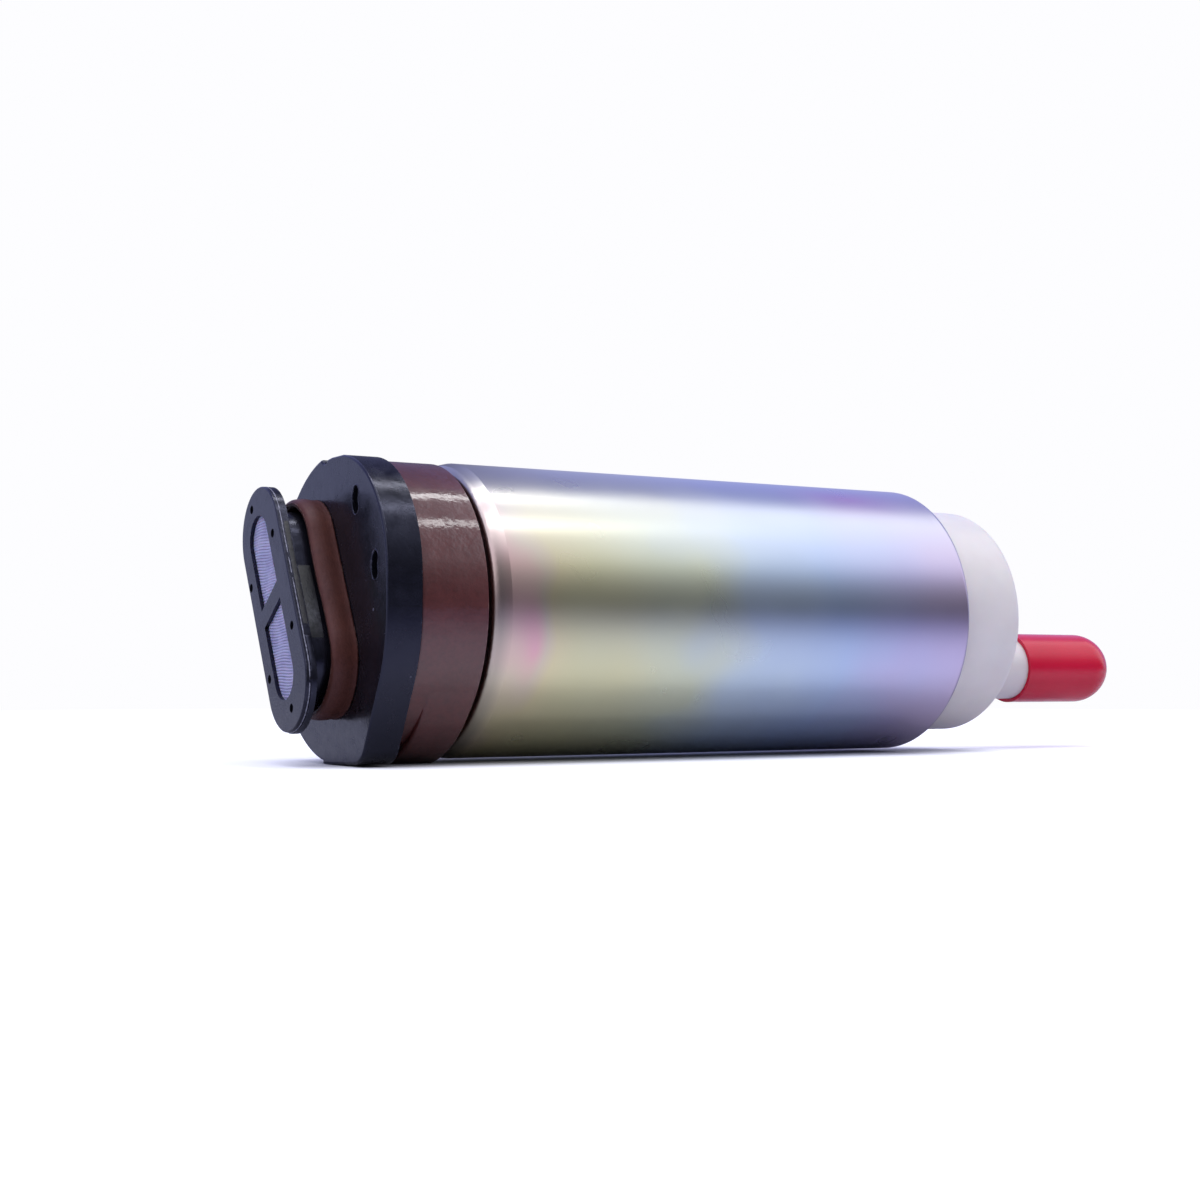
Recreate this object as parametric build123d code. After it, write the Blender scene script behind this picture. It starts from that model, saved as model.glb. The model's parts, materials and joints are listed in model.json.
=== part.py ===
from build123d import *
import math
import os

# Electric in-tank fuel pump, in millimetres, lying on its side along X. The inlet and
# its strainer are at -X, the outlet at +X, and +Z is up. The origin is on the pump's
# axis, halfway along the steel can. Inside is a two-pole brush motor in wet fuel that
# turns a regenerative impeller in the chamber next to the inlet. Left and right are as
# seen from the inlet, so left is +Y.

# Fits
slip_fit = 0.05           # a piece that pushes in or on by hand
seat_fit = 0.02           # a piece pressed into its seat
bearing_fit = 0.03        # shaft in its bushes
face_gap = 0.04           # faces that run or slide past each other

# Steel can
can_radius = 19.0
can_wall = 1.3
can_length = 75.0
shoulder_length = 2.2     # the rolled shoulder at the inlet end
shoulder_drop = 1.1
shoulder_roll = 0.8       # its rounded front, which is followed by a slight bevel
shoulder_bevel_drop = 0.35
crimp_round = 0.9         # rounding of the crimped edge at the outlet end
inlet_lip_reach = 1.9     # how far the rolled lip reaches in past the can's bore
outlet_lip_reach = 1.1    # the same of the crimped lip
lip_gap = 0.25            # crease between a lip and what passes through it

# Inlet end, from the can outwards
recess_length = 0.9       # dark groove between the can and the rubber sleeve
sleeve_length = 8.8
sleeve_wall = 3.2
sleeve_round = 0.4
sleeve_lobe_inset = 1.05  # the thick side is a smaller round that hangs lower
sleeve_lobe_drop = 2.05
sleeve_lobe_start = 2.3   # plain strip of sleeve next to the plate
sleeve_lobe_round = 0.45
plate_thickness = 4.5
plate_inset = 0.1         # how far the plate's main round stays inside the can's
plate_drop = 0.45         # how far that round is set down
plate_edge_round = 0.3
plate_top_cut = 0.3       # flat along the top, below the can's outline
plate_split_y = 0.4       # where the plate's two halves meet
plate_far_shift = 2.6     # how far the far half's round is moved to the near side
plate_far_growth = 0.2    # how much larger than the can it is
plate_shoulder_round = 15.5       # the near half's rounder upper corner
plate_shoulder_place = (-3.4, 3.3)
plate_foot_round = 3.5    # and its foot
plate_foot_place = (-9.3, -15.6)
plate_notch_round = 1.2
plate_notch_depth = 0.55
hub_wall = 1.6            # wall of the tube behind the plate
hub_seat_depth = 2.0      # how deep that tube sits in the pump cover
rest_clear = 0.4          # from the can down to the surface that the pump lies on

# The two small curved slots through the plate
slot_distance = 15.8
slot_angles = (126.0, 163.0)
slot_bend_radius = 2.4
slot_width = 1.7
slot_span = 42.0

# Oblong inlet, whose long axis leans away from the vertical
inlet_lean = 28.0
inlet_straight = 15.0     # length of the straight sides of collar and neck
neck_half_width = 5.5
neck_wall = 1.0
neck_end_clear = 0.8      # the neck stops this far before the plate's back face
grommet_wall = 1.1
grommet_bead = 0.6        # bead that snaps into the plate's groove
grommet_bead_length = 1.5
collar_stand = 3.4
collar_wall = 1.65
collar_round = 0.6
collar_lip_depth = 2.1    # depth of the open gap around the neck
collar_lip_wall = 1.0

# Strainer
strainer_gap = 2.0        # neck that shows between collar and strainer plate
strainer_straight = 20.3
strainer_half_width = 6.3
base_thickness = 0.95
bezel_thickness = 0.5
bezel_edge_round = 0.2
window_side_frame = 3.2   # solid frame beside the window and past its ends
window_end_frame = 3.8
window_shift = (0.4, -0.45)       # window and pins are off centre, along and across
window_margin = 0.7       # how far the gauze reaches under the bezel
bar_width = 2.3
bar_turn = -8.0
bar_shift = 0.25
gauze_thickness = 0.2
pin_hole_radius = 0.55
pin_end_inset = 2.15      # pins next to the strainer's ends
pin_end_shift = -0.4
pin_side_places = ((7.8, 1.8), (5.5, -1.3))     # along, and in from the edge

# Pump cover and casing
cover_thickness = 5.0
casing_web = 0.7          # wall between the impeller and the shaft's bush
casing_wall = 3.25        # from the impeller's pocket out to the can
impeller_thickness = 3.7
impeller_rim = 1.0
channel_width = 2.2
channel_depth = 1.3
channel_sweep = 300.0
channel_middle = 270.0    # direction of the channel's middle, in degrees from +Y to +Z
vane_count = 34
vane_thickness = 0.5
vane_web = 0.8            # wall left between the two faces' pockets
seal_width = 1.8
seal_height = 1.4
seal_groove_clear = 0.3

# Rotor
shaft_radius = 2.5
shaft_flat = 0.5
shaft_reach = 1.0         # how far the shaft's end reaches into the pump cover
shaft_clear = 0.3         # free space around the shaft where nothing carries it
bush_radius = 4.5
bush_length = 6.0
button_radius = 2.2
button_length = 1.5
washer_radius = 4.2
washer_thickness = 0.5
air_gap = 0.55            # from the core out to the magnets
tooth_tip = 1.4
slot_count = 8
slot_radius = 2.6
slot_mouth = 1.6
insulator_thickness = 0.6
insulator_margin = 0.4
wire_clearance = 0.15
end_turn_length = 4.8
end_turn_reach = 1.2      # how far the end turns reach in past the slots
end_turn_round = 1.5
commutator_rim = 1.0      # copper outside the brushes and inside them
commutator_inside = 1.4
commutator_thickness = 2.0
commutator_slit = 0.5
commutator_hub_clear = 0.6        # from the end turns in to the commutator's hub
commutator_base_length = 2.32

# Magnets
magnet_gap = 3.0          # from the casing to the magnets
magnet_thickness = 3.9
magnet_arc = 138.0
clip_thickness = 0.5
clip_leg = 2.8

# End cap
cap_stand = 12.3          # how far the cap stands out of the can
cap_rim_round = 1.8
flange_thickness = 4.0
skirt_wall = 1.8
skirt_length = 6.88

# Brushes
brush_clear = 0.7         # wall between the bush and the brush's guide
brush_width = 4.0         # across, away from the axis
brush_height = 6.0
brush_length = 9.0
brush_bare = 3.7          # bare length between the commutator and the guide
brush_peg_radius = 1.1
brush_peg_length = 1.0
spring_cover = 2.36       # wall of the cap behind the brush's spring
spring_radius = 1.75
spring_wire = 0.35
spring_turns = 7

# Socket, terminals and chokes
terminal_y = 3.5
terminal_z = 9.2
blade_width = 2.8
blade_thickness = 0.8
blade_tip_clear = 1.0
blade_point = 0.25
socket_width = 14.8
socket_height = 6.6
socket_depth = 9.0
socket_key = 1.2
web_thickness = 1.0
choke_radius = 2.3
choke_core_radius = 1.2
choke_recess = 0.7        # how far the choke lies inside the cap's inner face
choke_wire = 0.8
choke_turns = 5
choke_coil_inset = 0.6

# Outlet nipple and its check valve
outlet_y = -2.0
outlet_z = -7.1
nipple_radius = 4.7
nipple_wall = 1.0
nipple_bare = 9.9         # nipple that shows between the cap and the dust cover
nipple_root_cover = 2.0   # full-size nipple under the dust cover's edge
barb_count = 2
barb_height = 0.5
barb_length = 3.2
barb_gap = 1.6
valve_seat_ledge = 1.2
valve_seat_depth = 5.0    # from the cap's face to the valve seat
valve_head = 2.0
valve_head_gap = 0.35
valve_stem_radius = 0.8
valve_stem = 3.0
valve_spring_length = 7.0
valve_spring_radius = 1.9
valve_spring_wire = 0.3
valve_spring_turns = 6
cage_thickness = 2.5
cage_bore = 1.3
cage_notch_width = 1.4
cage_notch_depth = 0.9

# Dust cover
dust_length = 19.15
dust_wall = 0.5
dust_dome_length = 5.5
dust_dome_overlap = 0.8   # how far the nipple reaches into the dome

# Relief valve
relief_y = 8.6
relief_z = -8.2
relief_seat_radius = 0.9
relief_ball_radius = 1.6
relief_ball_room = 0.6
relief_seat_depth = 4.3   # from the cap's inner face to the seat
relief_spring_length = 5.5
relief_spring_radius = 1.7
relief_spring_wire = 0.3
relief_spring_turns = 5
relief_plug_bore = 0.8
relief_plug_depth = 0.5   # how deep the plug is set below the cap's face

# Radii that follow the can, and the height of the axis above the surface
can_bore = can_radius - can_wall
inner_radius = can_bore - slip_fit
inlet_lip_radius = can_bore - inlet_lip_reach
outlet_lip_radius = can_bore - outlet_lip_reach
cap_radius = outlet_lip_radius - lip_gap
hub_radius = inlet_lip_radius - lip_gap
hub_bore = hub_radius - hub_wall
sleeve_radius = hub_radius + sleeve_wall
plate_radius = can_radius - plate_inset
plate_far_radius = can_radius + plate_far_growth
plate_top = can_radius - plate_top_cut
rest_height = can_radius + rest_clear

# Places along X, from the can outwards to the strainer
can_front = -can_length / 2
can_back = can_length / 2
sleeve_back = can_front - recess_length
sleeve_front = sleeve_back - sleeve_length
plate_face = sleeve_front - plate_thickness
collar_rim = plate_face - collar_stand
strainer_back = collar_rim - strainer_gap
bezel_back = strainer_back - base_thickness
strainer_face = bezel_back - bezel_thickness
neck_end = sleeve_front - neck_end_clear

# Places along X in the pumping chamber
cover_front = can_front + can_wall
cover_back = cover_front + cover_thickness
impeller_front = cover_back + face_gap
impeller_back = impeller_front + impeller_thickness
pocket_back = impeller_back + face_gap
inlet_bush_front = pocket_back + casing_web
casing_back = inlet_bush_front + bush_length

# Radii in the pumping chamber
impeller_radius = inner_radius - casing_wall
channel_outer = impeller_radius - impeller_rim
channel_inner = channel_outer - channel_width

# Places along X in the motor, whose core is centred in the magnets
flange_back = can_back - can_wall
flange_front = flange_back - flange_thickness
skirt_front = flange_front - skirt_length
magnet_front = casing_back + magnet_gap
magnet_back = skirt_front - face_gap
commutator_face = flange_front - brush_bare
commutator_back = commutator_face - commutator_thickness
turns_back = commutator_back - commutator_base_length
core_back = turns_back - end_turn_length - insulator_thickness
core_front = magnet_front + magnet_back - core_back
turns_front = core_front - insulator_thickness - end_turn_length
shaft_front = cover_back - shaft_reach
shaft_back = flange_front + bush_length
button_back = shaft_front - face_gap
button_front = button_back - button_length

# Radii in the motor
magnet_bore = inner_radius - magnet_thickness
core_radius = magnet_bore - air_gap
slot_circle = core_radius - tooth_tip - slot_radius
end_turn_inner = slot_circle - slot_radius - end_turn_reach
commutator_hub = end_turn_inner - commutator_hub_clear
brush_offset = bush_radius + brush_clear + brush_width / 2
commutator_radius = brush_offset + brush_width / 2 + commutator_rim
commutator_bore = brush_offset - brush_width / 2 - commutator_inside

# Places along X in the end cap and beyond it
cap_back = can_back + cap_stand
brush_front = commutator_face + face_gap
brush_end = brush_front + brush_length
spring_end = cap_back - spring_cover
socket_floor = cap_back - socket_depth
choke_end = socket_floor - web_thickness
choke_front = flange_front + choke_recess
valve_seat = cap_back + valve_seat_depth
valve_head_back = valve_seat + face_gap + valve_head
valve_spring_end = valve_head_back + valve_spring_length
cage_back = valve_spring_end + cage_thickness
dust_edge = cap_back + nipple_bare
dust_tip = dust_edge + dust_length
dust_dome = dust_tip - dust_dome_length
nipple_end = dust_dome + dust_dome_overlap
relief_seat = flange_front + relief_seat_depth
relief_ball_lift = math.sqrt(relief_ball_radius ** 2 - relief_seat_radius ** 2)
relief_ball_x = relief_seat + relief_ball_lift + face_gap
relief_spring_front = relief_ball_x + relief_ball_radius
relief_spring_back = relief_spring_front + relief_spring_length

# Radii of the bores and valves in the end cap
nipple_neck_radius = nipple_radius - barb_height
nipple_bore = nipple_neck_radius - nipple_wall
valve_seat_radius = nipple_bore - valve_seat_ledge
relief_bore = relief_ball_radius + relief_ball_room

# Oblong sizes across the inlet
grommet_bore = neck_half_width + slip_fit
grommet_half_width = grommet_bore + grommet_wall
collar_half_width = grommet_bore + collar_wall
strainer_half_length = strainer_straight / 2 + strainer_half_width
window_half_width = strainer_half_width - window_side_frame
window_straight = 2 * (strainer_half_length - window_end_frame - window_half_width)

through = 1.0             # how far a cutting tool runs past the face that it cuts


def rod(radius, start, end, y=0.0, z=0.0):
    """A round bar along X."""
    length = end - start
    return Pos(start + length / 2, y, z) * Rot(0, 90, 0) * Cylinder(radius, length)


def pipe(radius, bore, start, end, y=0.0, z=0.0):
    """A round tube along X."""
    return rod(radius, start, end, y, z) - rod(bore, start - through, end + through, y, z)


def block(start, end, width, height, y=0.0, z=0.0):
    """A rectangular bar along X, its width along Y and its height along Z."""
    return Pos((start + end) / 2, y, z) * Box(end - start, width, height)


def turned(*lines):
    """A solid of revolution about X from the lines of its half section."""
    edges = [edge for line in lines for edge in line.edges()]
    return revolve(make_face(edges), Axis.X)


def rounding(start, corner, end):
    """A curve from start to end inside their corner, as round as a quarter ellipse."""
    pull = 4 / 3 * (math.sqrt(2) - 1)
    start, corner, end = Vector(start), Vector(corner), Vector(end)
    return Bezier(start, start + (corner - start) * pull, end + (corner - end) * pull, end)


def arc_wall(radius, bore, start, end, middle, span):
    """A piece of a tube's wall, its middle and span given in degrees from +Y to +Z."""
    section = Pos((start + end) / 2, (radius + bore) / 2) * Rectangle(end - start, radius - bore)
    return Rot(middle - span / 2, 0, 0) * revolve(section, Axis.X, span)


def slab(outline, start, end):
    """A flat outline drawn in Y and Z and given a thickness along X."""
    plane = Plane(origin=(start, 0, 0), x_dir=(0, 1, 0), z_dir=(1, 0, 0))
    return extrude(plane * outline, end - start)


def oblong(straight, half_width):
    """The leaning round-ended outline of the inlet."""
    return SlotCenterToCenter(straight, 2 * half_width, rotation=90 - inlet_lean)


def shifted(outline):
    """The outline moved along and across the strainer with its window."""
    along, across = window_shift
    lean = math.radians(inlet_lean)
    return Pos(along * math.sin(lean) - across * math.cos(lean),
               along * math.cos(lean) + across * math.sin(lean)) * outline


def around(count, shape):
    """Copies of a shape evenly spaced about the pump's axis."""
    return [Rot(360 / count * turn, 0, 0) * shape for turn in range(count)]


def eased(shape, radius, end=0):
    """The shape with the rim of its first face along X rounded, or of its last with -1."""
    face = shape.faces().sort_by(Axis.X)[end]
    return shape.solid().fillet(radius, face.outer_wire().edges())


def coil(radius, wire, start, end, turns, y, z):
    """A wound spring or coil along X, of this outer radius."""
    rise = end - start - 2 * wire
    path = Helix(pitch=rise / turns, height=rise, radius=radius - wire / 2)
    section = Plane(origin=path @ 0, z_dir=path % 0) * Circle(wire / 2)
    spring = sweep(section, path=path, is_frenet=True)
    return Pos(start + wire, y, z) * Rot(0, 90, 0) * spring


def above_rest(shape):
    """The shape cut flat where the pump lies on its surface."""
    size = 4 * can_radius
    middle = shape.bounding_box().center().X
    return shape - Pos(middle, 0, -rest_height - size / 2) * Box(size, size, size)


def can():
    """Drawn steel tube, rolled in over the pump cover and crimped over the end cap."""
    shoulder_foot = can_radius - shoulder_drop
    crimp_foot = can_radius - crimp_round
    bevel_front = can_front + shoulder_roll
    bevel_foot = can_radius - shoulder_bevel_drop
    bevel_slope = shoulder_bevel_drop / (shoulder_length - shoulder_roll)
    shoulder = rounding((can_front, shoulder_foot),
                        (can_front, bevel_foot - shoulder_roll * bevel_slope),
                        (bevel_front, bevel_foot))
    wall = Polyline(shoulder @ 1, (can_front + shoulder_length, can_radius),
                    (can_back - crimp_round, can_radius))
    crimp = rounding(wall @ 1, (can_back, can_radius), (can_back, crimp_foot))
    inside = Polyline(crimp @ 1, (can_back, outlet_lip_radius), (flange_back, outlet_lip_radius),
                      (flange_back, can_bore), (cover_front, can_bore),
                      (cover_front, inlet_lip_radius), (can_front, inlet_lip_radius),
                      shoulder @ 0)
    return turned(shoulder, wall, crimp, inside)


def plate_outline():
    """A near half with a round shoulder and a foot, and a plainer far half."""
    reach = 2 * can_radius
    near_side = Polygon((plate_split_y, reach), (-reach, reach), (-reach, -reach),
                        (plate_split_y, -reach), align=None)
    rounds = [Pos(0, -plate_drop) * Circle(plate_radius),
              Pos(*plate_shoulder_place) * Circle(plate_shoulder_round),
              Pos(*plate_foot_place) * Circle(plate_foot_round)]
    near_half = make_hull([edge for disc in rounds for edge in disc.edges()]) & near_side
    far_half = Pos(-plate_far_shift, 0) * Circle(plate_far_radius) - near_side
    top = Pos(0, plate_top + reach / 2) * Rectangle(2 * reach, reach)
    notch_z = plate_top + plate_notch_round - plate_notch_depth
    notch = Pos(plate_split_y, notch_z) * Circle(plate_notch_round)
    return near_half + far_half - top - notch


def inlet_plate():
    """Black plate with a tube behind it that passes the can's lip into the pump cover."""
    plate = eased(slab(plate_outline(), plate_face, sleeve_front), plate_edge_round)
    body = above_rest(plate)
    body += pipe(hub_radius, hub_bore, sleeve_front, cover_front + hub_seat_depth - face_gap)
    hole = oblong(inlet_straight, grommet_half_width + seat_fit)
    groove = oblong(inlet_straight, grommet_half_width + grommet_bead + seat_fit)
    groove_middle = (plate_face + sleeve_front) / 2
    groove_reach = grommet_bead_length / 2 + seat_fit
    body -= slab(hole, plate_face - through, sleeve_front)
    body -= slab(groove, groove_middle - groove_reach, groove_middle + groove_reach)
    for angle in slot_angles:
        middle_y = slot_distance * math.cos(math.radians(angle))
        middle_z = slot_distance * math.sin(math.radians(angle))
        bend = CenterArc((middle_y - slot_bend_radius, middle_z), slot_bend_radius,
                         -slot_span / 2, slot_span)
        body -= slab(SlotArc(bend, slot_width), plate_face - through, sleeve_front)
    return body


def isolator_sleeve():
    """Brown rubber band on the plate's tube, thicker on the side that it lies on."""
    sleeve = eased(slab(Circle(sleeve_radius), sleeve_front, sleeve_back), sleeve_round)
    lobe = slab(Pos(0, -sleeve_lobe_drop) * Circle(sleeve_radius - sleeve_lobe_inset),
                sleeve_front + sleeve_lobe_start, sleeve_back)
    lobe = eased(eased(lobe, sleeve_lobe_round), sleeve_lobe_round, -1)
    whole = above_rest(sleeve + lobe)
    return whole - rod(hub_radius + seat_fit, sleeve_front - through, sleeve_back + through)


def inlet_grommet():
    """Brown oblong rubber collar that holds the strainer's neck."""
    collar = eased(slab(oblong(inlet_straight, collar_half_width), collar_rim, plate_face),
                   collar_round)
    waist = slab(oblong(inlet_straight, grommet_half_width), plate_face, sleeve_front)
    middle = (plate_face + sleeve_front) / 2
    bead = slab(oblong(inlet_straight, grommet_half_width + grommet_bead),
                middle - grommet_bead_length / 2, middle + grommet_bead_length / 2)
    lip_gap_outline = oblong(inlet_straight, collar_half_width - collar_lip_wall)
    body = collar + waist + bead
    body -= slab(oblong(inlet_straight, grommet_bore), collar_rim - through,
                 sleeve_front + through)
    return body - slab(lip_gap_outline, collar_rim - through, collar_rim + collar_lip_depth)


def strainer_base():
    """Back plate of the strainer with the oblong neck that plugs into the grommet."""
    body = slab(oblong(strainer_straight, strainer_half_width), bezel_back, strainer_back)
    body += slab(oblong(inlet_straight, neck_half_width), strainer_back, neck_end)
    body -= slab(oblong(inlet_straight, neck_half_width - neck_wall), bezel_back - through,
                 neck_end + through)
    pocket = shifted(oblong(window_straight, window_half_width + window_margin))
    return body - slab(pocket, bezel_back - through, bezel_back + gauze_thickness)


def strainer_bezel():
    """Front plate with the barred window and the holes of its locating pins."""
    body = eased(slab(oblong(strainer_straight, strainer_half_width), strainer_face,
                      bezel_back), bezel_edge_round)
    bar = Pos(bar_shift, 0) * Rectangle(bar_width, 4 * window_half_width)
    bar = Rot(0, 0, 90 - inlet_lean + bar_turn) * bar
    window = shifted(oblong(window_straight, window_half_width) - bar)
    body -= slab(window, strainer_face - through, bezel_back + through)
    places = [(strainer_half_length - pin_end_inset, pin_end_shift)]
    for along, inset in pin_side_places:
        places.append((along, math.copysign(strainer_half_width, inset) - inset))
    for along, across in places:
        for side in (1, -1):
            pin = Pos(side * along, side * across) * Circle(pin_hole_radius)
            pin = shifted(Rot(0, 0, 90 - inlet_lean) * pin)
            body -= slab(pin, strainer_face - through, bezel_back + through)
    return body


def strainer_gauze():
    """Woven gauze held between base and bezel, as a thin sheet."""
    outline = shifted(oblong(window_straight, window_half_width + window_margin - slip_fit))
    return slab(outline, bezel_back, bezel_back + gauze_thickness)


def channel(front):
    """The ring-shaped flow channel, which stops short of a full turn."""
    return arc_wall(channel_outer, channel_inner, front, front + channel_depth, channel_middle,
                    channel_sweep)


def port(start, end, side):
    """A hole through the wall at one end of the flow channel."""
    radius = (channel_outer - channel_inner) / 2
    distance = (channel_outer + channel_inner) / 2
    angle = math.degrees(radius / distance)
    turn = channel_middle + side * (channel_sweep / 2 - angle)
    return Rot(turn, 0, 0) * rod(radius, start, end, distance)


def pump_cover():
    """Inlet side of the pumping chamber, held by the can's rolled lip."""
    body = rod(inner_radius, cover_front, cover_back)
    body -= pipe(hub_radius + slip_fit, hub_bore - slip_fit, cover_front - through,
                 cover_front + hub_seat_depth)
    body -= channel(cover_back - channel_depth)
    body -= port(cover_front - through, cover_back, 1)
    body -= rod(shaft_radius + shaft_clear, shaft_front - face_gap, cover_back + through)
    return body - rod(button_radius + seat_fit, button_front, cover_back)


def pump_casing():
    """Outlet side of the pumping chamber, which carries the shaft's inlet bush."""
    body = rod(inner_radius, cover_back, casing_back)
    body -= rod(impeller_radius + face_gap, cover_back - through, pocket_back)
    body -= channel(pocket_back)
    body -= port(pocket_back - through, casing_back + through, -1)
    body -= rod(shaft_radius + shaft_clear, pocket_back - through, casing_back)
    body -= rod(bush_radius + seat_fit, inlet_bush_front, casing_back + through)
    middle = (pocket_back + casing_back) / 2
    return body - seal_groove(middle)


def seal_groove(middle):
    """Groove for an O-ring in the outside of a piece that fills the can's bore."""
    half = seal_width / 2 + seal_groove_clear
    bottom = can_bore - seal_height - seat_fit
    return pipe(can_radius, bottom, middle - half, middle + half)


def seal_ring(middle):
    """O-ring, pressed oval between its groove and the can's bore."""
    section = Pos(middle, can_bore - seal_height / 2 - seat_fit / 2)
    section = section * Ellipse(seal_width / 2, seal_height / 2 - seat_fit / 2)
    return revolve(section, Axis.X)


def impeller():
    """Closed-ring impeller with pockets between its vanes in both faces."""
    depth = (impeller_thickness - vane_web) / 2
    reach = channel_outer + through
    vane = block(impeller_front - through, impeller_back + through, vane_thickness, reach,
                 0, reach / 2)
    pockets = pipe(channel_outer, channel_inner, impeller_front - through,
                   impeller_front + depth)
    pockets += pipe(channel_outer, channel_inner, impeller_back - depth,
                    impeller_back + through)
    pockets -= around(vane_count, vane)
    body = rod(impeller_radius, impeller_front, impeller_back) - pockets
    return body - flatted_bar(shaft_radius + slip_fit, impeller_front - through,
                              impeller_back + through)


def flatted_bar(radius, start, end):
    """A round bar with the shaft's driving flat."""
    flat = radius - shaft_flat
    return rod(radius, start, end) - block(start - through, end + through, 2 * radius,
                                           radius, 0, flat + radius / 2)


def shaft():
    """Steel shaft with a flat that drives the impeller."""
    return (flatted_bar(shaft_radius, shaft_front, pocket_back)
            + rod(shaft_radius, pocket_back, shaft_back))


def bush(front):
    """Plain bearing bush."""
    return pipe(bush_radius, shaft_radius + bearing_fit, front, front + bush_length)


def thrust_button():
    """Hard button in the pump cover that the shaft's end runs on."""
    return rod(button_radius, button_front, button_back)


def thrust_washers():
    """The two washers on the shaft, each next to a bush."""
    bore = shaft_radius + seat_fit
    near = casing_back + face_gap
    far = flange_front - face_gap - washer_thickness
    return [pipe(washer_radius, bore, front, front + washer_thickness) for front in (near, far)]


def core_slots(start, end):
    """The winding slots, open to the rim, as solids to cut with."""
    mouth = block(start, end, slot_mouth, core_radius, 0, slot_circle + core_radius / 2)
    slot = rod(slot_radius, start, end, 0, slot_circle) + mouth
    return around(slot_count, slot)


def armature_core():
    """Stack of steel laminations, as one solid."""
    body = pipe(core_radius, shaft_radius + seat_fit, core_front, core_back)
    return body - core_slots(core_front - through, core_back + through)


def core_insulators():
    """The insulating plates at both ends of the core."""
    plates = []
    for front in (core_front - insulator_thickness, core_back):
        back = front + insulator_thickness
        plate = pipe(core_radius - insulator_margin, shaft_radius + seat_fit, front, back)
        plates.append(plate - core_slots(front - through, back + through))
    return plates


def end_turn(start, end):
    """The bundle of turns at one end of the core, its outer corners rounded."""
    outer = slot_circle + slot_radius - wire_clearance
    middle = Pos((start + end) / 2, (outer + end_turn_inner) / 2)
    section = middle * RectangleRounded(end - start, outer - end_turn_inner, end_turn_round)
    return revolve(section, Axis.X)


def armature_winding():
    """Copper winding: a bar of wires in each slot, joined by the end turns."""
    front = core_front - insulator_thickness
    back = core_back + insulator_thickness
    bar = rod(slot_radius - wire_clearance, turns_front + end_turn_length / 2,
              turns_back - end_turn_length / 2, 0, slot_circle)
    body = end_turn(turns_front, front) + end_turn(back, turns_back)
    return body + around(slot_count, bar)


def commutator_base():
    """Moulded hub that carries the copper segments."""
    start = core_back + insulator_thickness
    body = pipe(commutator_hub, shaft_radius + seat_fit, start, commutator_back)
    return body + pipe(commutator_radius, shaft_radius + seat_fit, turns_back, commutator_back)


def commutator():
    """Flat copper segments that the brushes run on."""
    ring = pipe(commutator_radius, commutator_bore, commutator_back, commutator_face)
    slit = block(commutator_back - through, commutator_face + through, commutator_slit,
                 2 * commutator_radius, 0, commutator_radius)
    return (ring - around(slot_count, slit)).solids()


def magnet(middle):
    """One arc-shaped magnet against the can's bore."""
    return arc_wall(inner_radius, magnet_bore, magnet_front, magnet_back, middle, magnet_arc)


def magnet_clip(middle):
    """Spring steel clip that presses the magnets apart."""
    span = 180.0 - magnet_arc - math.degrees(2 * face_gap / magnet_bore)
    leg_span = math.degrees(clip_thickness / inner_radius)
    body = arc_wall(inner_radius, inner_radius - clip_thickness, magnet_front, magnet_back,
                    middle, span)
    for side in (1, -1):
        leg_middle = middle + side * (span - leg_span) / 2
        body += arc_wall(inner_radius, inner_radius - clip_leg, magnet_front, magnet_back,
                         leg_middle, leg_span)
    return body


def nipple():
    """Outlet tube with hose barbs near its end, about its own axis."""
    points = [(cap_back - through, 0), (cap_back - through, nipple_radius),
              (dust_edge + nipple_root_cover, nipple_radius),
              (dust_edge + nipple_root_cover, nipple_neck_radius)]
    for place in range(barb_count, 0, -1):
        barb = nipple_end - place * (barb_length + barb_gap) + barb_gap
        points += [(barb, nipple_neck_radius), (barb, nipple_radius),
                   (barb + barb_length, nipple_neck_radius)]
    points.append((nipple_end, 0))
    return Pos(0, outlet_y, outlet_z) * turned(Polyline(*points, close=True))


def socket_outline():
    """Opening of the electrical socket, keyed by its cut upper corners."""
    opening = Rectangle(socket_width, socket_height)
    corners = opening.vertices().group_by(Axis.Y)[-1]
    return Pos(0, terminal_z) * chamfer(corners, socket_key)


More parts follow.
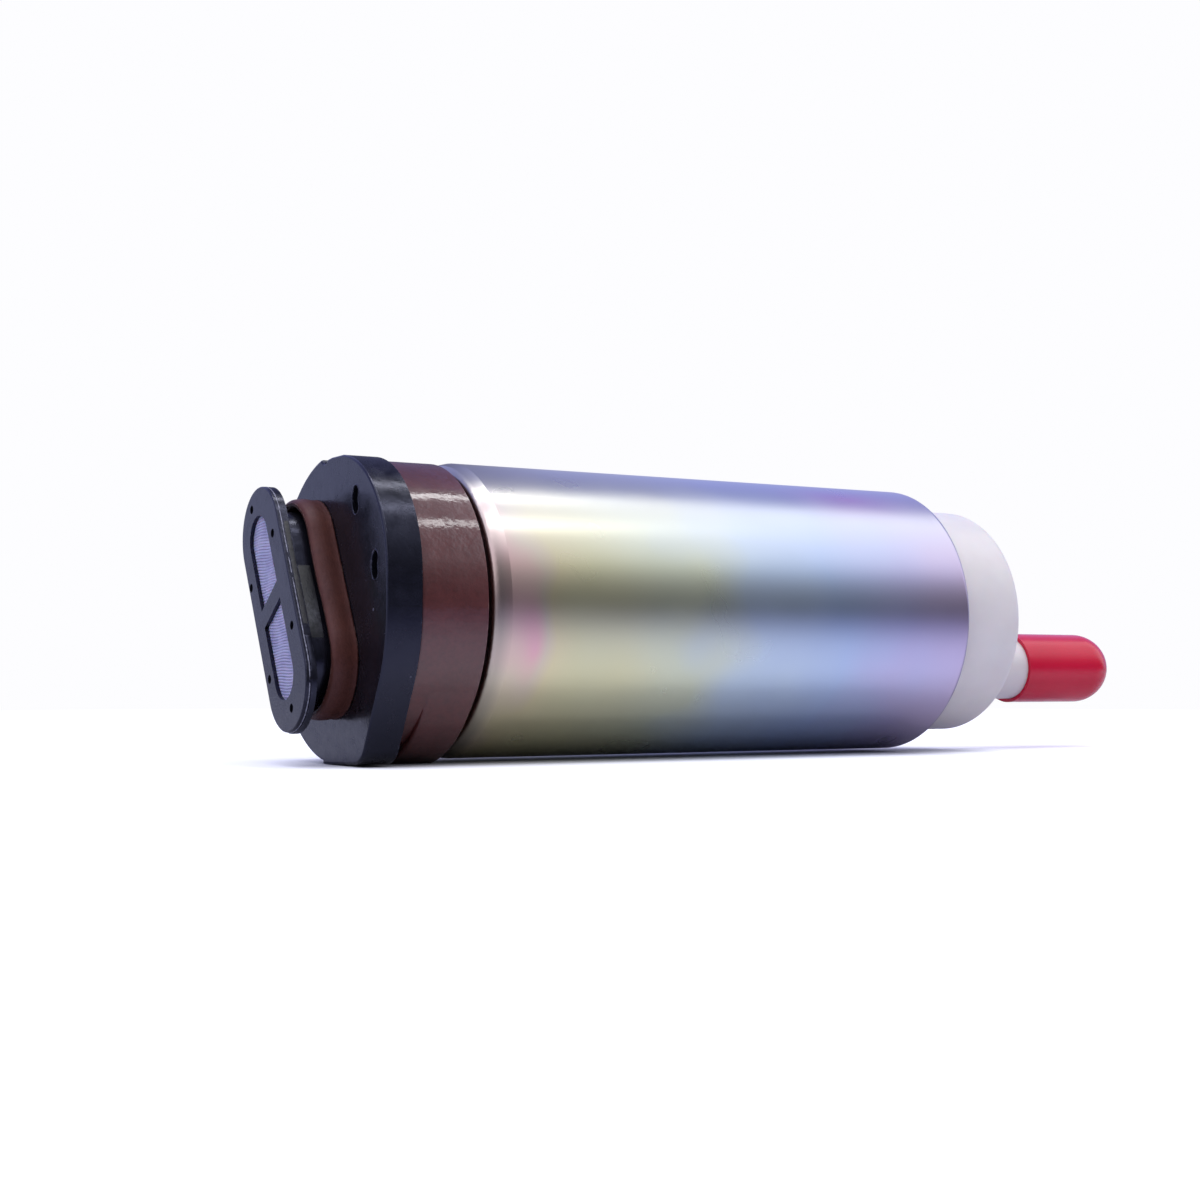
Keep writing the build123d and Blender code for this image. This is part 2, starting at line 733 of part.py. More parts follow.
def end_cap():
    """White moulded cap: brush guides, bush seat, socket, valves' bores and nipple."""
    skirt_bore = inner_radius - skirt_wall
    inside = Polyline((cap_back, 0), (flange_front, 0), (flange_front, skirt_bore),
                      (skirt_front, skirt_bore), (skirt_front, inner_radius),
                      (flange_back, inner_radius), (flange_back, cap_radius),
                      (cap_back - cap_rim_round, cap_radius))
    rim = rounding(inside @ 1, (cap_back, cap_radius), (cap_back, cap_radius - cap_rim_round))
    body = turned(inside, rim, Line(rim @ 1, inside @ 0)) + nipple()
    inner = flange_front - through
    guide_width = brush_width + 2 * slip_fit
    guide_height = brush_height + 2 * slip_fit
    for side in (1, -1):
        body -= block(inner, spring_end, guide_width, guide_height, side * brush_offset)
        body -= rod(choke_radius + slip_fit, inner, choke_end, side * terminal_y, terminal_z)
        body -= block(choke_end - through, socket_floor + through,
                      blade_thickness + 2 * seat_fit, blade_width + 2 * seat_fit,
                      side * terminal_y, terminal_z)
    body -= slab(socket_outline(), socket_floor, cap_back + through)
    body -= rod(bush_radius + seat_fit, inner, flange_front + bush_length)
    body -= rod(shaft_radius + shaft_clear, inner, shaft_back + shaft_clear)
    body -= rod(valve_seat_radius, inner, valve_seat + through, outlet_y, outlet_z)
    body -= rod(nipple_bore, valve_seat, nipple_end + through, outlet_y, outlet_z)
    body -= rod(relief_seat_radius, inner, relief_seat + through, relief_y, relief_z)
    body -= rod(relief_bore, relief_seat, cap_back + through, relief_y, relief_z)
    return body - seal_groove((flange_front + flange_back) / 2)


def terminal(side):
    """Flat blade that passes through the socket's floor to its choke."""
    tip = cap_back - blade_tip_clear
    blade = block(choke_end, tip, blade_thickness, blade_width, side * terminal_y, terminal_z)
    return blade.chamfer(blade_point, None, blade.faces().sort_by(Axis.X)[-1].edges())


def choke_core(side):
    """Ferrite rod of the choke that takes out radio noise."""
    return rod(choke_core_radius, choke_front, choke_end, side * terminal_y, terminal_z)


def choke_coil(side):
    """Copper turns round the choke's core."""
    return coil(choke_radius, choke_wire, choke_front + choke_coil_inset,
                choke_end - choke_coil_inset, choke_turns, side * terminal_y, terminal_z)


def brush(side):
    """Carbon brush with a peg that centres its spring."""
    body = block(brush_front, brush_end, brush_width, brush_height, side * brush_offset)
    return body + rod(brush_peg_radius, brush_end, brush_end + brush_peg_length,
                      side * brush_offset)


def brush_spring(side):
    """Spring that presses the brush on the commutator."""
    return coil(spring_radius, spring_wire, brush_end, spring_end, spring_turns,
                side * brush_offset, 0)


def check_valve():
    """Poppet that keeps pressure in the line when the pump stops."""
    front = valve_seat + face_gap
    head_radius = nipple_bore - valve_head_gap
    body = turned(Polyline((front, 0), (front, head_radius), (valve_head_back, head_radius),
                           (valve_head_back, valve_stem_radius),
                           (valve_head_back + valve_stem, valve_stem_radius),
                           (valve_head_back + valve_stem, 0), close=True))
    return Pos(0, outlet_y, outlet_z) * body


def check_spring():
    """Spring that holds the check valve on its seat."""
    return coil(valve_spring_radius, valve_spring_wire, valve_head_back, valve_spring_end,
                valve_spring_turns, outlet_y, outlet_z)


def valve_cage():
    """Ring that holds the valve's spring, notched to let the fuel past."""
    radius = nipple_bore - seat_fit
    body = pipe(radius, cage_bore, valve_spring_end, cage_back)
    notch = block(valve_spring_end - through, cage_back + through, cage_notch_width,
                  2 * cage_notch_depth, 0, radius)
    return Pos(0, outlet_y, outlet_z) * (body - around(4, notch))


def relief_ball():
    """Steel ball that opens when the line is blocked."""
    return Pos(relief_ball_x, relief_y, relief_z) * Sphere(relief_ball_radius)


def relief_spring():
    """Spring that holds the relief ball on its seat."""
    return coil(relief_spring_radius, relief_spring_wire, relief_spring_front,
                relief_spring_back, relief_spring_turns, relief_y, relief_z)


def relief_plug():
    """Brass ring pressed in behind the relief valve's spring."""
    return pipe(relief_bore - seat_fit, relief_plug_bore, relief_spring_back,
                cap_back - relief_plug_depth, relief_y, relief_z)


def dust_cover():
    """Soft red cap over the nipple, closed by a dome and flared at its edge."""
    bore = nipple_radius + slip_fit
    radius = bore + dust_wall
    outside = Polyline((dust_edge, 0), (dust_edge, radius), (dust_dome, radius))
    dome = rounding(outside @ 1, (dust_tip, radius), (dust_tip, 0))
    hollow_wall = Polyline((dust_edge - through, 0), (dust_edge - through, bore),
                           (dust_dome, bore))
    hollow_tip = dust_tip - dust_wall
    hollow_dome = rounding(hollow_wall @ 1, (hollow_tip, bore), (hollow_tip, 0))
    body = turned(outside, dome, Line(dome @ 1, outside @ 0))
    body -= turned(hollow_wall, hollow_dome, Line(hollow_dome @ 1, hollow_wall @ 0))
    return Pos(0, outlet_y, outlet_z) * body


def both(name, make):
    """A left and a right copy of a piece, named for their sides."""
    return {name + "_left": make(1), name + "_right": make(-1)}


def pump():
    """Every piece of the pump by its name."""
    pieces = {
        "can": can(),
        "inlet_plate": inlet_plate(),
        "isolator_sleeve": isolator_sleeve(),
        "inlet_grommet": inlet_grommet(),
        "strainer_base": strainer_base(),
        "strainer_bezel": strainer_bezel(),
        "strainer_gauze": strainer_gauze(),
        "pump_cover": pump_cover(),
        "pump_casing": pump_casing(),
        "casing_seal": seal_ring((pocket_back + casing_back) / 2),
        "impeller": impeller(),
        "shaft": shaft(),
        "inlet_bush": bush(inlet_bush_front),
        "outlet_bush": bush(flange_front),
        "thrust_button": thrust_button(),
        "thrust_washers": thrust_washers(),
        "armature_core": armature_core(),
        "core_insulators": core_insulators(),
        "armature_winding": armature_winding(),
        "commutator_base": commutator_base(),
        "commutator": commutator(),
        "magnet_top": magnet(90.0),
        "magnet_bottom": magnet(270.0),
        "magnet_clip_left": magnet_clip(0.0),
        "magnet_clip_right": magnet_clip(180.0),
        "end_cap": end_cap(),
        "cap_seal": seal_ring((flange_front + flange_back) / 2),
        "check_valve": check_valve(),
        "check_spring": check_spring(),
        "valve_cage": valve_cage(),
        "relief_ball": relief_ball(),
        "relief_spring": relief_spring(),
        "relief_plug": relief_plug(),
        "dust_cover": dust_cover(),
    }
    pieces.update(both("brush", brush))
    pieces.update(both("brush_spring", brush_spring))
    pieces.update(both("terminal", terminal))
    pieces.update(both("choke_core", choke_core))
    pieces.update(both("choke_coil", choke_coil))
    return pieces


def whole(shape):
    """One shape to write, also where a piece is several solids."""
    return Compound(children=list(shape)) if isinstance(shape, list) else shape


os.makedirs("parts", exist_ok=True)
for name, shape in pump().items():
    export_step(whole(shape), f"parts/{name}.step")
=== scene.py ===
import json
import math
import bmesh
import bpy
import numpy as np
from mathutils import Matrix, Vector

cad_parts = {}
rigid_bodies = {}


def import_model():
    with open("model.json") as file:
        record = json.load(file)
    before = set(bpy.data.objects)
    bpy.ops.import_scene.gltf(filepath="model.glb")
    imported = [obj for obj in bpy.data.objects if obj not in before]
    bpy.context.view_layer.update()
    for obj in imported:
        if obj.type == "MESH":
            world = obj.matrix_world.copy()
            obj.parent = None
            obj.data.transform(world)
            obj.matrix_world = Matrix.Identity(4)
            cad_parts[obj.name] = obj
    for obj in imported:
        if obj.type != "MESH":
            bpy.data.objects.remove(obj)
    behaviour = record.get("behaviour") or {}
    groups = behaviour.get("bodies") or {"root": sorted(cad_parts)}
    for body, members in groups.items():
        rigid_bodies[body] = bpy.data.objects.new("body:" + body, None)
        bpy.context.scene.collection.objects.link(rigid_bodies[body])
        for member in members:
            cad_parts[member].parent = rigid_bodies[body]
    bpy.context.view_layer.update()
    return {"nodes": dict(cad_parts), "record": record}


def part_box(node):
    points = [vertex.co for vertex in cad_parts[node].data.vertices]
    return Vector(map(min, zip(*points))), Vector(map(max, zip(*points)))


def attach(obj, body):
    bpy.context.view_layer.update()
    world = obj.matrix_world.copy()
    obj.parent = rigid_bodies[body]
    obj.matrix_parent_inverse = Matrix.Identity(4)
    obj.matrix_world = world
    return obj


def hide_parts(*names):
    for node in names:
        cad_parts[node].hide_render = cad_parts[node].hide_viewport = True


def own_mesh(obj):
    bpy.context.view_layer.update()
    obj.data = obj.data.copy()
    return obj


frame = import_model()

# Electric in-tank fuel pump, lying on its side along X on a pale floor. The inlet and its
# strainer are at -X. Names that end in _mm or _MM are in millimetres; the rest is in metres.
MM = 0.001
CAN_LOW, CAN_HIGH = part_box("can")
FLOOR_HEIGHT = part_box("isolator_sleeve")[0].z
PLATE_FACE_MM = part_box("inlet_plate")[0].x / MM
COLLAR_RIM_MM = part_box("inlet_grommet")[0].x / MM
COLLAR_BACK_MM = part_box("inlet_grommet")[1].x / MM
BEZEL_BACK_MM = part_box("strainer_bezel")[1].x / MM
GAUZE_LOW, GAUZE_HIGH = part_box("strainer_gauze")

# The inlet's oblong leans over to the near side, and everything round it follows.
LEAN = math.radians(28.0)
COLLAR_STRAIGHT_MM = 15.0
STRAINER_STRAIGHT_MM = 20.3
STRAINER_HALF_WIDTH_MM = 6.3
NECK_HALF_WIDTH_MM = 5.5

# The plate's two slots: each is an arc, with its middle on a circle about the pump's axis.
SLOT_ANGLES = (126.0, 163.0)
SLOT_CIRCLE_MM = 15.8
SLOT_BEND_MM = 2.4
SLOT_HALF_SPAN = math.radians(21.0)

# Centres of the two rose patches in the can's film and of the pale patch on the neck
INLET_PATCH = (-0.0318, -0.0183, -0.0052)
OUTLET_PATCH = (0.0230, -0.0095, 0.0165)
NECK_PATCH = (-0.0562, -0.0070, -0.0010)

# The studio's whites, and how strongly the camera sees the floor lit and glowing
BACKDROP, WHITE, PALE, BLUE = "#fdfdff", "#f4f6ff", "#d4daff", "#b0b6ff"
FLOOR_GAIN, FLOOR_GLOW = 0.8, 0.5


# Colours and nodes
def linear(hex_colour, gain=1.0):
    """The linear RGBA of an sRGB hex colour, times a gain."""
    parts = [int(hex_colour[i:i + 2], 16) / 255 for i in (1, 3, 5)]
    parts = [c / 12.92 if c <= 0.04045 else ((c + 0.055) / 1.055) ** 2.4 for c in parts]
    return (*(gain * part for part in parts), 1.0)


def feed(tree, node, inputs):
    """Gives inputs, by name or number, a value or the output of a socket or a node."""
    for name, value in dict(inputs).items():
        if isinstance(name, int):
            socket = node.inputs[name]
        else:
            socket = next(s for s in node.inputs if s.name == name and s.enabled)
        if isinstance(value, bpy.types.Node):
            value = next(s for s in value.outputs if s.enabled)
        if isinstance(value, bpy.types.NodeSocket):
            tree.links.new(value, socket)
        else:
            socket.default_value = value


def add(tree, kind, inputs=(), stops=(), **settings):
    """Adds a node with its settings, its inputs and the stops of its colour ramp."""
    node = tree.nodes.new(kind)
    for name, value in settings.items():
        setattr(node, name, value)
    if stops:
        elements = node.color_ramp.elements
        while len(elements) < len(stops):
            elements.new(0.5)
        for element, (place, colour) in zip(elements, stops):
            element.position = place
            element.color = colour
    feed(tree, node, inputs)
    return node


def finish_of(name, constants):
    """A material, its nodes, its Principled shader and the point on the piece in metres."""
    material = bpy.data.materials.new(name)
    material.use_nodes = True
    tree = material.node_tree
    shader = tree.nodes["Principled BSDF"]
    feed(tree, shader, constants)
    return material, tree, shader, add(tree, "ShaderNodeTexCoord").outputs["Object"]


def mottled(tree, place, size_mm, detail, dark, light, grit=0.5, start=0.3, end=0.7):
    """Two tones in soft blotches about this many millimetres wide."""
    blotches = add(tree, "ShaderNodeTexNoise", {
        "Vector": place, "Scale": 1 / (size_mm * MM), "Detail": detail, "Roughness": grit})
    return add(tree, "ShaderNodeValToRGB", {"Fac": blotches},
               stops=[(start, linear(dark)), (end, linear(light))])


def uneven(tree, place, size_mm, detail, low, high, grit=0.5, start=0.3, end=0.7):
    """A level that wanders from low to high in blotches this many millimetres wide."""
    blotches = add(tree, "ShaderNodeTexNoise", {
        "Vector": place, "Scale": 1 / (size_mm * MM), "Detail": detail, "Roughness": grit})
    return add(tree, "ShaderNodeMapRange", {
        "Value": blotches, "From Min": start, "From Max": end, "To Min": low, "To Max": high})


def relief(tree, place, *layers):
    """A normal from layers of bumps: each one's size in mm, detail, grit and depth in mm."""
    normal = None
    for size_mm, detail, grit, depth_mm in layers:
        height = add(tree, "ShaderNodeTexNoise", {
            "Vector": place, "Scale": 1 / (size_mm * MM), "Detail": detail,
            "Roughness": grit})
        inputs = {"Height": height, "Distance": depth_mm * MM}
        if normal:
            inputs["Normal"] = normal
        normal = add(tree, "ShaderNodeBump", inputs)
    return normal


def worn_edge(tree, place, reach_mm, patch_mm, least):
    """A share that is high on convex edges, in patches, where a finish rubs off."""
    inside = add(tree, "ShaderNodeAmbientOcclusion", {"Distance": reach_mm * MM},
                 inside=True, only_local=True, samples=8)
    edge = add(tree, "ShaderNodeMapRange", {
        "Value": inside.outputs["AO"], "From Min": 0.55, "From Max": 0.85,
        "To Min": 1.0, "To Max": 0.0})
    patch = uneven(tree, place, patch_mm, 3.0, 0.0, 1.0, 0.6, least, least + 0.1)
    return add(tree, "ShaderNodeMath", {0: edge, 1: patch}, operation="MULTIPLY")


def patch_at(tree, place, centre, stretch, reach_mm):
    """A share that is 1 about a centre and fades to 0 this many millimetres off.

    It is the square of 1 less the distance over the reach. The stretch scales the
    distance along each axis, so that a patch can be long.
    """
    shift = add(tree, "ShaderNodeVectorMath", {0: place, 1: centre}, operation="SUBTRACT")
    scaled = add(tree, "ShaderNodeVectorMath", {0: shift, 1: stretch}, operation="MULTIPLY")
    away = add(tree, "ShaderNodeVectorMath", {0: scaled}, operation="LENGTH")
    share = add(tree, "ShaderNodeMapRange", {
        "Value": away, "From Min": 0.0, "From Max": reach_mm * MM,
        "To Min": 1.0, "To Max": 0.0})
    return add(tree, "ShaderNodeMath", {0: share, 1: share}, operation="MULTIPLY")


# Materials
def passivated_zinc():
    """Zinc-plated drawn steel with a chromate film, satin and faintly iridescent.

    The film's thickness drifts along the can, so that it shades from straw at the inlet
    through silver to blue and lavender at the outlet, in blotches of 11 mm. A rose patch
    lies on the near side at the inlet, and another along the top at the outlet. The top is
    mixed pale as a painted highlight. The crimped edge is darkened as painted shade, and the
    rolled shoulder is mixed grey as painted shade. The gloss varies over 9 mm.
    """
    material, tree, shader, place = finish_of("passivated_zinc", {"Metallic": 1.0})
    axes = add(tree, "ShaderNodeSeparateXYZ", {"Vector": place})
    along = add(tree, "ShaderNodeMapRange", {
        "Value": axes.outputs["X"], "From Min": CAN_LOW.x, "From Max": CAN_HIGH.x,
        "To Min": 0.1, "To Max": 1.0})
    drift = uneven(tree, place, 11.0, 1.0, -0.06, 0.06, 0.5, 0.2, 0.8)
    thick = add(tree, "ShaderNodeMath", {0: along, 1: drift}, operation="ADD")
    inlet_rose = patch_at(tree, place, INLET_PATCH, (1.5, 0.7, 0.7), 10.0)
    thinned = add(tree, "ShaderNodeMath", {0: inlet_rose, 1: -0.15}, operation="MULTIPLY")
    film = add(tree, "ShaderNodeMath", {0: thick, 1: thinned}, operation="ADD")
    by_thickness = [
        (0.00, "#dea6ba"), (0.06, "#dcb0b4"), (0.11, "#d2c4b2"), (0.16, "#d5cca8"),
        (0.25, "#d1ceaa"), (0.42, "#cacfb9"), (0.55, "#bac9d8"), (0.72, "#afc0de"),
        (0.88, "#b8b6d8"), (1.00, "#c2b2d0")]
    colour = add(tree, "ShaderNodeValToRGB", {"Fac": film},
                 stops=[(thickness, linear(tone)) for thickness, tone in by_thickness])
    # Painted highlight: the top of the can is mixed towards a pale neutral grey.
    painted_highlight_top = add(tree, "ShaderNodeMapRange", {
        "Value": axes.outputs["Z"], "From Min": 5 * MM, "From Max": 14 * MM,
        "To Min": 0.0, "To Max": 0.65})
    outlet_rose = patch_at(tree, place, OUTLET_PATCH, (0.4, 1.0, 1.0), 7.0)
    rose = add(tree, "ShaderNodeMath", {0: outlet_rose, 1: 0.7}, operation="MULTIPLY")
    # Painted shade: the crimped edge is darkened towards a dusky violet.
    painted_crimp_shade = add(tree, "ShaderNodeMapRange", {
        "Value": axes.outputs["X"], "From Min": CAN_HIGH.x - 0.9 * MM,
        "From Max": CAN_HIGH.x - 0.3 * MM, "To Min": 0.0, "To Max": 0.8})
    # Painted shade: the rolled shoulder is mixed towards a darker grey.
    painted_shoulder_shade = add(tree, "ShaderNodeMapRange", {
        "Value": axes.outputs["X"], "From Min": CAN_LOW.x + 1.0 * MM,
        "From Max": CAN_LOW.x + 2.4 * MM, "To Min": 0.5, "To Max": 0.0})
    for share, tone in ((painted_highlight_top, "#cfd0d4"), (rose, "#e4aed4"), (painted_crimp_shade, "#74708e"),
                        (painted_shoulder_shade, "#96938c")):
        colour = add(tree, "ShaderNodeMix", {
            "Factor": share, "A": colour, "B": linear(tone)}, data_type="RGBA")
    satin = uneven(tree, place, 9.0, 2.0, 0.27, 0.31)
    feed(tree, shader, {"Base Color": colour, "Roughness": satin})
    return material


def moulded_nylon():
    """Black glass-filled nylon, moulded semi-gloss, IOR 1.53.

    Its skin has a grain on waves of 2.5 mm. Its edges are rubbed pale in places, and a
    few small specks of lint and flash lie on it. The real grain is finer than a pixel, so
    it is drawn at 0.45 mm.
    """
    material, tree, shader, place = finish_of("moulded_nylon", {
        "IOR": 1.53, "Specular Tint": linear("#c8ccf6")})
    black = mottled(tree, place, 4.0, 4.0, "#0d0d13", "#15151c")
    worn = worn_edge(tree, place, 0.3, 0.9, 0.55)
    rubbed = add(tree, "ShaderNodeMath", {0: worn, 1: 0.2}, operation="MULTIPLY")
    speck = uneven(tree, place, 1.1, 0.0, 0.0, 0.3, 0.5, 0.87, 0.9)
    pale = add(tree, "ShaderNodeMath", {0: rubbed, 1: speck}, operation="MAXIMUM")
    colour = add(tree, "ShaderNodeMix", {
        "Factor": pale, "A": black, "B": linear("#8c8ca2")}, data_type="RGBA")
    feed(tree, shader, {
        "Base Color": colour, "Roughness": uneven(tree, place, 1.6, 4.0, 0.16, 0.3),
        "Normal": relief(tree, place, (2.5, 1.0, 0.5, 0.02), (0.45, 2.0, 0.5, 0.012))})
    return material


def scuffed_nylon(name, dark, light, centre=(0, 0, 0), reach_mm=None):
    """The same nylon where the mould left it rough and pale, with a 0.25 mm grain.

    Where a reach is given, it darkens to the moulded nylon's black that far off.
    """
    material, tree, shader, place = finish_of(name, {"IOR": 1.53})
    colour = mottled(tree, place, 0.4, 4.0, dark, light, 0.7, 0.35, 0.65)
    if reach_mm:
        near = patch_at(tree, place, centre, (1.0, 1.0, 1.0), reach_mm)
        patchy = uneven(tree, place, 1.2, 3.0, 0.3, 1.0, 0.6)
        pale = add(tree, "ShaderNodeMath", {0: near, 1: patchy}, operation="MULTIPLY")
        colour = add(tree, "ShaderNodeMix", {
            "Factor": pale, "A": linear("#0c0d15"), "B": colour}, data_type="RGBA")
    feed(tree, shader, {
        "Base Color": colour, "Roughness": uneven(tree, place, 0.6, 3.0, 0.3, 0.5),
        "Normal": relief(tree, place, (0.25, 3.0, 0.7, 0.05))})
    return material


def brown_nitrile(name, dark, light, dull, coat, grain_mm):
    """Brown nitrile rubber, IOR 1.52, moulded with an orange peel of 0.7 mm.

    The sleeve's skin has a glossy bloom over it, drawn as a coat of IOR 1.6, and the
    collar's has none. Both have a grain of 0.3 mm, whose depth is given.
    """
    material, tree, shader, place = finish_of(name, {
        "IOR": 1.52, "Specular IOR Level": 0.3, "Specular Tint": linear("#f0d4e8"),
        "Coat Weight": coat, "Coat IOR": 1.6})
    colour = mottled(tree, place, 5.0, 3.0, dark, light)
    stain = uneven(tree, place, 0.7, 4.0, 0.0, 0.35, 0.7, 0.4, 0.75)
    worn = worn_edge(tree, place, 0.3, 1.2, 0.5)
    rubbed = add(tree, "ShaderNodeMath", {0: worn, 1: 0.3}, operation="MULTIPLY")
    for share, tone in ((stain, "#2a1614"), (rubbed, "#a98880")):
        colour = add(tree, "ShaderNodeMix", {
            "Factor": share, "A": colour, "B": linear(tone)}, data_type="RGBA")
    peel = relief(tree, place, (3.0, 1.0, 0.5, 0.03), (0.7, 2.0, 0.5, 0.02),
                  (0.3, 3.0, 0.5, grain_mm))
    feed(tree, shader, {
        "Base Color": colour,
        "Roughness": uneven(tree, place, 2.0, 3.0, dull - 0.06, dull + 0.06),
        "Coat Roughness": uneven(tree, place, 1.5, 3.0, 0.07, 0.14),
        "Normal": peel, "Coat Normal": peel})
    return material


def white_acetal():
    """White acetal, moulded semi-gloss, IOR 1.48, slightly translucent, with faint
    ripples of 0.9 mm.
    """
    material, tree, shader, place = finish_of("white_acetal", {
        "IOR": 1.48, "Subsurface Weight": 0.15, "Subsurface Scale": 0.6 * MM})
    feed(tree, shader, {
        "Base Color": mottled(tree, place, 6.0, 2.0, "#e0dada", "#e8e2e2"),
        "Roughness": uneven(tree, place, 2.0, 2.0, 0.34, 0.44),
        "Normal": relief(tree, place, (0.9, 2.0, 0.5, 0.006))})
    return material


def dipped_vinyl():
    """Red dip-moulded soft vinyl, glossy, IOR 1.53, with waves of 4 mm from the dip."""
    material, tree, shader, place = finish_of("dipped_vinyl", {
        "IOR": 1.53, "Specular IOR Level": 0.36, "Subsurface Weight": 0.08,
        "Subsurface Scale": 0.4 * MM})
    feed(tree, shader, {
        "Base Color": mottled(tree, place, 5.0, 2.0, "#c80b35", "#d00e39"),
        "Roughness": uneven(tree, place, 2.5, 2.0, 0.2, 0.26),
        "Normal": relief(tree, place, (4.0, 1.0, 0.5, 0.02))})
    return material


def nylon_thread():
    """Nylon monofilament, extruded smooth, IOR 1.53, slightly translucent. Its white is
    drawn greyed and lavender as painted shade, and varies over 1.8 mm.
    """
    material, tree, shader, place = finish_of("nylon_thread", {
        "IOR": 1.53, "Subsurface Weight": 0.2, "Subsurface Scale": 0.2 * MM})
    feed(tree, shader, {
        # Painted shade: the thread's white is greyed and tinted lavender.
        "Base Color": mottled(tree, place, 1.8, 3.0, "#a8a8d2", "#c8c6e8"),
        "Roughness": uneven(tree, place, 1.0, 2.0, 0.3, 0.45)})
    return material


def inner_finish(name, low, high, roughness, size_mm, depth_mm, constants):
    """Two tones with a grain of this size and depth, for the pieces inside the pump."""
    material, tree, shader, place = finish_of(name, constants)
    gloss = uneven(tree, place, 2 * size_mm, 2.0, roughness - 0.05, roughness + 0.05)
    feed(tree, shader, {
        "Base Color": mottled(tree, place, 4 * size_mm, 3.0, low, high),
        "Roughness": gloss,
        "Normal": relief(tree, place, (size_mm, 2.0, 0.5, depth_mm))})
    return material


METAL, RUBBER, RESIN = {"Metallic": 1.0}, {"IOR": 1.52}, {"IOR": 1.58}
CARBON, FERRITE = {"IOR": 1.8}, {"IOR": 2.0}
finishes = {
    "zinc_steel": passivated_zinc(),
    "black_plastic": moulded_nylon(),
    "brown_rubber": brown_nitrile("brown_nitrile", "#4e2321", "#5a2b29", 0.4, 0.9, 0.004),
    "white_plastic": white_acetal(),
    "red_vinyl": dipped_vinyl(),
    "gauze": nylon_thread(),
}
for slot, *recipe in (
        ("seal_rubber", "nitrile_ring", "#101010", "#1c1c1c", 0.45, 0.4, 0.004, RUBBER),
        ("phenolic", "moulded_phenolic", "#4a2c1a", "#5b3822", 0.4, 0.3, 0.004, RESIN),
        ("shaft_steel", "ground_steel", "#b4b4b8", "#c8c8cc", 0.25, 0.2, 0.001, METAL),
        ("bush_carbon", "bearing_carbon", "#242426", "#303032", 0.5, 0.2, 0.003, CARBON),
        ("core_steel", "sheet_steel", "#6e7074", "#84868a", 0.4, 0.5, 0.004, METAL),
        ("copper", "enamelled_copper", "#c0703f", "#d08352", 0.3, 0.4, 0.002, METAL),
        ("ferrite", "sintered_ferrite", "#303032", "#3e3e42", 0.6, 0.2, 0.004, FERRITE),
        ("brass", "turned_brass", "#c8a860", "#d8ba74", 0.28, 0.2, 0.001, METAL),
        ("brush_carbon", "copper_graphite", "#2c2624", "#3c322e", 0.5, 0.2, 0.003, CARBON),
        ("tinned_brass", "tin_plating", "#c6c4bc", "#d8d6ce", 0.3, 0.3, 0.001, METAL)):
    finishes[slot] = inner_finish(*recipe)
for subpart in frame["record"]["subparts"]:
    node = frame["nodes"][subpart["node"]]
    node.data.materials.clear()
    node.data.materials.append(finishes[subpart["material_slot"]])
scuffed = scuffed_nylon("scuffed_nylon", "#0c0c12", "#24242c")
rough_neck = scuffed_nylon("rough_nylon", "#1e1f26", "#60626c", NECK_PATCH, 5.2)
# Pale flash on the weld. Its light tone is partly a painted highlight along the seam.
flash_and_highlight = scuffed_nylon("nylon_flash_and_highlight", "#4c4c5c", "#a2a2b8")
satin_rubber = brown_nitrile("satin_nitrile", "#4a2a24", "#58332b", 0.5, 0.0, 0.03)


# Surfaces
def on_inlet(x_mm, along_mm, across_mm):
    """Points given along and across the leaning inlet, turned into the pump's frame."""
    x_mm, along_mm, across_mm = np.broadcast_arrays(x_mm, along_mm, across_mm)
    y_mm = along_mm * math.sin(LEAN) - across_mm * math.cos(LEAN)
    z_mm = along_mm * math.cos(LEAN) + across_mm * math.sin(LEAN)
    return np.stack([x_mm, y_mm, z_mm], axis=-1) * MM


def piece_of(name, points, faces, material, body):
    """A new smooth piece of the pump from its points and faces, turned to face outwards."""
    mesh = bpy.data.meshes.new(name)
    mesh.from_pydata(points.tolist(), [], faces)
    shape = bmesh.new()
    shape.from_mesh(mesh)
    bmesh.ops.recalc_face_normals(shape, faces=shape.faces)
    shape.to_mesh(mesh)
    shape.free()
    mesh.shade_smooth()
    mesh.materials.append(material)
    piece = bpy.data.objects.new(name, mesh)
    bpy.context.scene.collection.objects.link(piece)
    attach(piece, body)
    return piece


def surface(name, points, material, body, joined=(False, True)):
    """A piece from a grid of points, closed round each direction named in joined.

    Where its rows aren't joined, the first and the last are closed flat.
    """
    rows, columns = points.shape[:2]
    index = np.arange(rows * columns).reshape(rows, columns)
    for axis, close in enumerate(joined):
        if close:
            index = np.concatenate([index, np.take(index, [0], axis)], axis)
    corners = np.stack([index[:-1, :-1], index[1:, :-1], index[1:, 1:], index[:-1, 1:]], -1)
    faces = corners.reshape(-1, 4).tolist()
    if not joined[0]:
        faces += [index[0, :columns].tolist(), index[-1, :columns].tolist()[::-1]]
    return piece_of(name, points.reshape(-1, 3), faces, material, body)


def oblong_path(straight_mm, arc_steps=56, side_steps=72):
    """Once round an oblong: the core line beside each step and the way out from it.

    Half a turn about each end of the straight core line, joined by straight runs.
    """
    half_turn = np.linspace(-np.pi / 2, np.pi / 2, arc_steps, endpoint=False)
    run = np.linspace(0.5, -0.5, side_steps, endpoint=False)
    side = np.full(side_steps, np.pi / 2)
    turn = np.concatenate([half_turn, side, half_turn + np.pi, side + np.pi])
    ends = np.full(arc_steps, 0.5)
    core = straight_mm * np.concatenate([ends, run, -ends, -run])
    return core, turn


